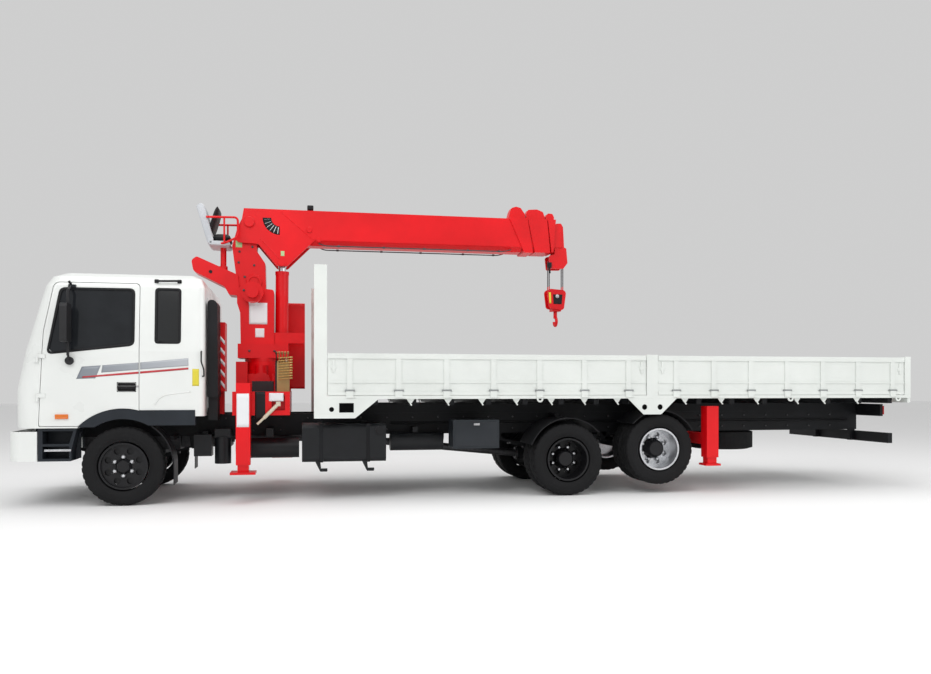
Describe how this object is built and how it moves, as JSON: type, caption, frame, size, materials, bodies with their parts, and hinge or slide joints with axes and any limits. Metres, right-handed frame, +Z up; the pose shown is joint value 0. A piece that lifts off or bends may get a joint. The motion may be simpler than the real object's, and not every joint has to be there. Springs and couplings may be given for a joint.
{
  "type": "truck-mounted telescopic boom crane",
  "caption": "Cab-over flatbed truck carrying a slewing telescopic boom crane behind its cab, with outriggers, drop-side bed, steered front wheels and twin rear wheels",
  "frame": {"origin": "the middle of the bounding box's bottom face, on the ground under the wheels", "axes": "+X points forward, +Y to the truck's left, +Z up"},
  "size_m": [10.53, 2.6, 3.5649],
  "materials": {
    "white_paint": "gloss",
    "red_paint": "gloss",
    "black_steel": "satin",
    "grey_steel": "satin",
    "tyre": "matte",
    "rim_black": "satin",
    "rim_silver": "satin",
    "black_plastic": "matte",
    "interior": "matte",
    "glass": "polished",
    "lamp_lens": "gloss",
    "cast_iron": "matte",
    "rod_chrome": "polished"
  },
  "bodies": {
    "chassis": {"frame": "black_steel", "axles": "black_steel", "engine_block": "cast_iron", "tanks": "grey_steel", "mudguards": "black_steel", "entry_steps": "white_paint", "bumper": "white_paint", "lamps": "lamp_lens", "air_intake": "black_plastic", "underrun_bar": "black_steel", "spare_wheel": "black_steel", "crane_base": "red_paint", "rear_outrigger": "red_paint", "valve_bank": "red_paint", "oil_tank": "red_paint", "bed_frame": "black_steel", "bed_floor": "white_paint", "headboard": "white_paint"},
    "cab": {"cab_shell": "white_paint", "cab_glass": "glass", "arch_trim": "black_plastic", "cab_interior": "interior"},
    "door_left": {"door_left": "white_paint", "door_glass_left": "glass"},
    "door_right": {"door_right": "white_paint", "door_glass_right": "glass"},
    "knuckle_left": {"knuckle_left": "black_steel"},
    "knuckle_right": {"knuckle_right": "black_steel"},
    "slewing_column": {"column": "red_paint", "top_seat": "black_plastic"},
    "boom_base": {"boom_base": "red_paint"},
    "boom_second": {"boom_second": "red_paint"},
    "boom_third": {"boom_third": "red_paint"},
    "boom_tip": {"boom_head": "red_paint"},
    "luff_barrel": {"luff_barrel": "red_paint"},
    "luff_rod": {"luff_rod": "rod_chrome"},
    "hook": {"hook_block": "red_paint"},
    "tailgate": {"tailgate": "white_paint"},
    "wheel_front_left": {"front_tyre_left": "tyre", "front_rim_left": "rim_black"},
    "wheel_drive_left": {"drive_tyres_left": "tyre", "drive_rims_left": "rim_black"},
    "wheel_tag_left": {"tag_tyres_left": "tyre", "tag_rims_left": "rim_silver"},
    "outrigger_beam_left": {"outrigger_beam_left": "red_paint"},
    "front_jack_left": {"front_jack_left": "red_paint"},
    "rear_jack_left": {"rear_jack_left": "red_paint"},
    "front_gate_left": {"front_gate_left": "white_paint"},
    "rear_gate_left": {"rear_gate_left": "white_paint"},
    "wheel_front_right": {"front_tyre_right": "tyre", "front_rim_right": "rim_black"},
    "wheel_drive_right": {"drive_tyres_right": "tyre", "drive_rims_right": "rim_black"},
    "wheel_tag_right": {"tag_tyres_right": "tyre", "tag_rims_right": "rim_silver"},
    "outrigger_beam_right": {"outrigger_beam_right": "red_paint"},
    "front_jack_right": {"front_jack_right": "red_paint"},
    "rear_jack_right": {"rear_jack_right": "red_paint"},
    "front_gate_right": {"front_gate_right": "white_paint"},
    "rear_gate_right": {"rear_gate_right": "white_paint"}
  },
  "joints": [
    {"name": "cab_tilt", "type": "hinge", "parent": "chassis", "child": "cab", "pos_m": [5.195, 0, 0.745], "axis": [0, 1, 0], "range_deg": [0, 42]},
    {"name": "door_left_swing", "type": "hinge", "parent": "cab", "child": "door_left", "pos_m": [4.939, 1.112, 1.15], "axis": [0, 0, -1], "range_deg": [0, 70]},
    {"name": "steer_left", "type": "hinge", "parent": "chassis", "child": "knuckle_left", "pos_m": [4.105, 0.862, 0.419], "axis": [0, 0, 1], "range_deg": [-35, 35]},
    {"name": "wheel_front_left_spin", "type": "hinge", "parent": "knuckle_left", "child": "wheel_front_left", "pos_m": [4.105, 0.96, 0.419], "axis": [0, 1, 0], "continuous": true},
    {"name": "wheel_drive_left_spin", "type": "hinge", "parent": "chassis", "child": "wheel_drive_left", "pos_m": [-0.795, 0.89, 0.419], "axis": [0, 1, 0], "continuous": true},
    {"name": "wheel_tag_left_spin", "type": "hinge", "parent": "chassis", "child": "wheel_tag_left", "pos_m": [-1.925, 0.89, 0.524], "axis": [0, 1, 0], "continuous": true},
    {"name": "outrigger_left_slide", "type": "slide", "parent": "chassis", "child": "outrigger_beam_left", "axis": [0, 1, 0], "range_m": [0, 1.35]},
    {"name": "door_right_swing", "type": "hinge", "parent": "cab", "child": "door_right", "pos_m": [4.939, -1.112, 1.15], "axis": [0, 0, 1], "range_deg": [0, 70]},
    {"name": "steer_right", "type": "hinge", "parent": "chassis", "child": "knuckle_right", "pos_m": [4.105, -0.862, 0.419], "axis": [0, 0, 1], "range_deg": [-35, 35]},
    {"name": "wheel_front_right_spin", "type": "hinge", "parent": "knuckle_right", "child": "wheel_front_right", "pos_m": [4.105, -0.96, 0.419], "axis": [0, 1, 0], "continuous": true},
    {"name": "wheel_drive_right_spin", "type": "hinge", "parent": "chassis", "child": "wheel_drive_right", "pos_m": [-0.795, -0.89, 0.419], "axis": [0, 1, 0], "continuous": true},
    {"name": "wheel_tag_right_spin", "type": "hinge", "parent": "chassis", "child": "wheel_tag_right", "pos_m": [-1.925, -0.89, 0.524], "axis": [0, 1, 0], "continuous": true},
    {"name": "outrigger_right_slide", "type": "slide", "parent": "chassis", "child": "outrigger_beam_right", "axis": [0, -1, 0], "range_m": [0, 1.35]},
    {"name": "front_jack_left_slide", "type": "slide", "parent": "outrigger_beam_left", "child": "front_jack_left", "axis": [0, 0, -1], "range_m": [0, 0.3]},
    {"name": "rear_jack_left_slide", "type": "slide", "parent": "chassis", "child": "rear_jack_left", "axis": [0, 0, -1], "range_m": [0, 0.3]},
    {"name": "front_jack_right_slide", "type": "slide", "parent": "outrigger_beam_right", "child": "front_jack_right", "axis": [0, 0, -1], "range_m": [0, 0.3]},
    {"name": "rear_jack_right_slide", "type": "slide", "parent": "chassis", "child": "rear_jack_right", "axis": [0, 0, -1], "range_m": [0, 0.3]},
    {"name": "slew", "type": "hinge", "parent": "chassis", "child": "slewing_column", "pos_m": [2.685, 0, 1.575], "axis": [0, 0, 1], "continuous": true},
    {"name": "luff", "type": "hinge", "parent": "slewing_column", "child": "boom_base", "pos_m": [2.86, 0, 3.23], "axis": [0, 1, 0], "range_deg": [0, 75]},
    {"name": "boom_second_slide", "type": "slide", "parent": "boom_base", "child": "boom_second", "axis": [-1, 0, 0], "range_m": [0, 2.5]},
    {"name": "boom_third_slide", "type": "slide", "parent": "boom_second", "child": "boom_third", "axis": [-1, 0, 0], "range_m": [0, 2.5]},
    {"name": "boom_tip_slide", "type": "slide", "parent": "boom_third", "child": "boom_tip", "axis": [-1, 0, 0], "range_m": [0, 2.5]},
    {"name": "hook_hang", "type": "hinge", "parent": "boom_tip", "child": "hook", "pos_m": [-0.983, 0, 2.895], "axis": [0, 1, 0], "range_deg": [-75, 0]},
    {"name": "luff_barrel_turn", "type": "hinge", "parent": "slewing_column", "child": "luff_barrel", "pos_m": [2.487, 0, 1.78], "axis": [0, 1, 0], "range_deg": [-5.44, 0]},
    {"name": "luff_rod_slide", "type": "slide", "parent": "luff_barrel", "child": "luff_rod", "axis": [-0.0091, 0, 1], "range_m": [0, 0.7244]},
    {"name": "front_gate_left_drop", "type": "hinge", "parent": "chassis", "child": "front_gate_left", "pos_m": [0.12, 1.207, 1.146], "axis": [-1, 0, 0], "range_deg": [0, 175]},
    {"name": "rear_gate_left_drop", "type": "hinge", "parent": "chassis", "child": "rear_gate_left", "pos_m": [-3.495, 1.207, 1.146], "axis": [-1, 0, 0], "range_deg": [0, 175]},
    {"name": "front_gate_right_drop", "type": "hinge", "parent": "chassis", "child": "front_gate_right", "pos_m": [0.12, -1.207, 1.146], "axis": [1, 0, 0], "range_deg": [0, 175]},
    {"name": "rear_gate_right_drop", "type": "hinge", "parent": "chassis", "child": "rear_gate_right", "pos_m": [-3.495, -1.207, 1.146], "axis": [1, 0, 0], "range_deg": [0, 175]},
    {"name": "tailgate_drop", "type": "hinge", "parent": "chassis", "child": "tailgate", "pos_m": [-5.2585, 0, 1.146], "axis": [0, -1, 0], "range_deg": [0, 175]}
  ],
  "couplings": [
    {"joint": "steer_right", "follows": "steer_left", "ratio": 1},
    {"joint": "boom_third_slide", "follows": "boom_second_slide", "ratio": 1},
    {"joint": "boom_tip_slide", "follows": "boom_second_slide", "ratio": 1},
    {"joint": "luff_barrel_turn", "follows": "luff", "ratio": -0.07189},
    {"joint": "luff_rod_slide", "follows": "luff", "m_per_rad": 0.55266},
    {"joint": "hook_hang", "follows": "luff", "ratio": -1}
  ]
}
